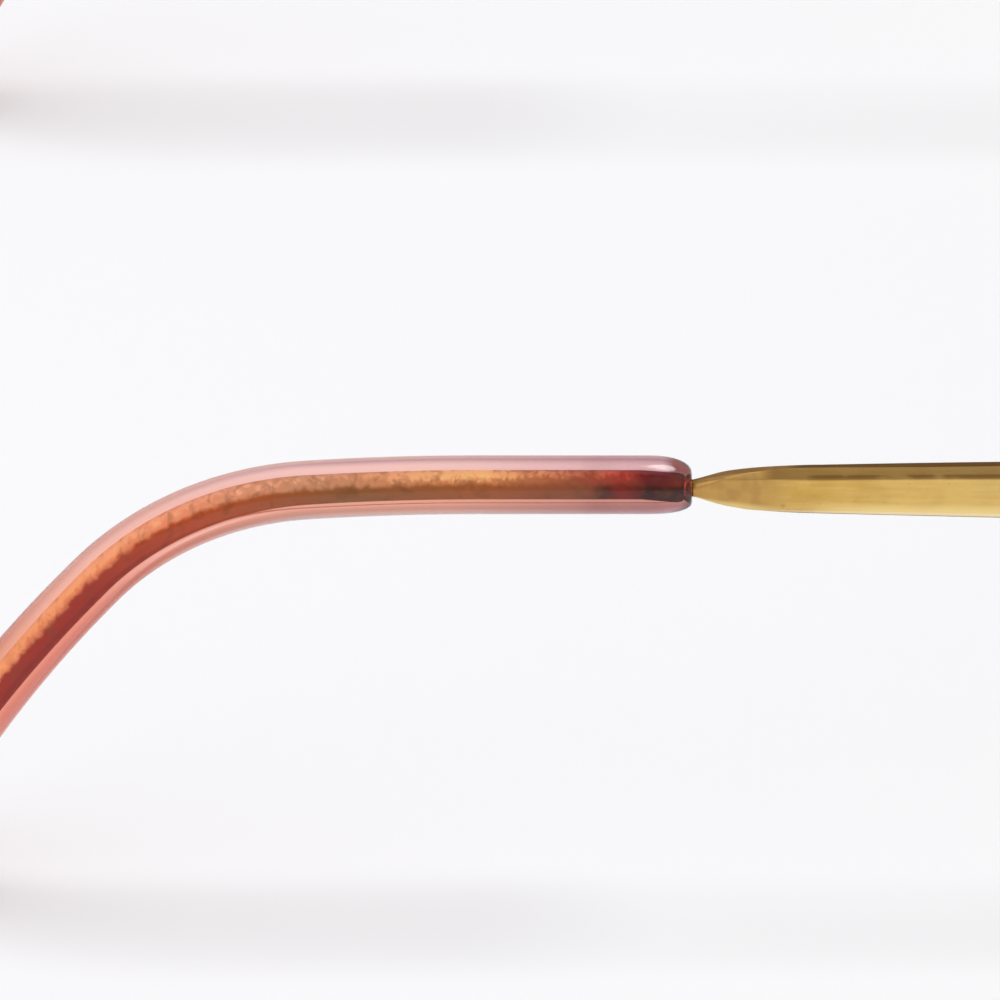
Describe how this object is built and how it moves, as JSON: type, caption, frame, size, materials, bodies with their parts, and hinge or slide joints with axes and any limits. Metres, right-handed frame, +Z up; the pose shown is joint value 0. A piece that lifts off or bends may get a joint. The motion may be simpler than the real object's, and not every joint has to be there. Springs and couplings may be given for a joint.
{
  "type": "eyeglass frame",
  "caption": "Metal full-rim eyeglass frame with round-bottomed lenses, rocking nose pads and folding temples whose pointed ends run into translucent curved ear sleeves.",
  "frame": {"origin": "centre of the footprint with the temples open, on the surface that the rims and the sleeve ends stand on", "axes": "+X towards the wearer's left, +Y back along the temples, +Z up; the lenses face -Y"},
  "size_m": [0.1378, 0.1383, 0.0435],
  "materials": {
    "gold": "polished gold-coloured metal, lightly tarnished along the bevels",
    "screw": "turned metal, slotted head",
    "sleeve": "polished translucent rose plastic",
    "lens": "clear, polished",
    "nose_pad": "clear, softly polished",
    "pad_insert": "clear, moulded"
  },
  "bodies": {
    "front": {"left_eyewire": "gold", "right_eyewire": "gold", "left_lens": "lens", "right_lens": "lens", "bridge": "gold", "left_closing_block_upper": "gold", "right_closing_block_upper": "gold", "left_closing_block_lower": "gold", "right_closing_block_lower": "gold", "left_rim_screw": "screw", "right_rim_screw": "screw", "left_end_piece": "gold", "right_end_piece": "gold", "left_hinge_front_leaf": "gold", "right_hinge_front_leaf": "gold", "left_hinge_screw": "screw", "right_hinge_screw": "screw", "left_pad_arm": "gold", "right_pad_arm": "gold", "left_pad_clasp": "gold", "right_pad_clasp": "gold", "left_pad_screw": "screw", "right_pad_screw": "screw"},
    "left_temple": {"left_temple": "gold", "left_temple_sleeve": "sleeve", "left_hinge_temple_leaf": "gold"},
    "right_temple": {"right_temple": "gold", "right_temple_sleeve": "sleeve", "right_hinge_temple_leaf": "gold"},
    "left_pad": {"left_nose_pad": "nose_pad", "left_pad_insert": "pad_insert"},
    "right_pad": {"right_nose_pad": "nose_pad", "right_pad_insert": "pad_insert"}
  },
  "joints": [
    {"name": "left_temple_fold", "type": "hinge", "parent": "front", "child": "left_temple", "pos_m": [0.0649, -0.05773, 0.03045], "axis": [0, 0, 1], "range_deg": [0, 90]},
    {"name": "right_temple_fold", "type": "hinge", "parent": "front", "child": "right_temple", "pos_m": [-0.0649, -0.05773, 0.03045], "axis": [0, 0, -1], "range_deg": [0, 84]},
    {"name": "left_pad_rock", "type": "hinge", "parent": "front", "child": "left_pad", "pos_m": [0.0097, -0.05876, 0.01978], "axis": [-0.4592, -0.8679, -0.1894], "range_deg": [-12, 12]},
    {"name": "right_pad_rock", "type": "hinge", "parent": "front", "child": "right_pad", "pos_m": [-0.0097, -0.05876, 0.01978], "axis": [0.4592, -0.8679, -0.1894], "range_deg": [-12, 12]}
  ]
}
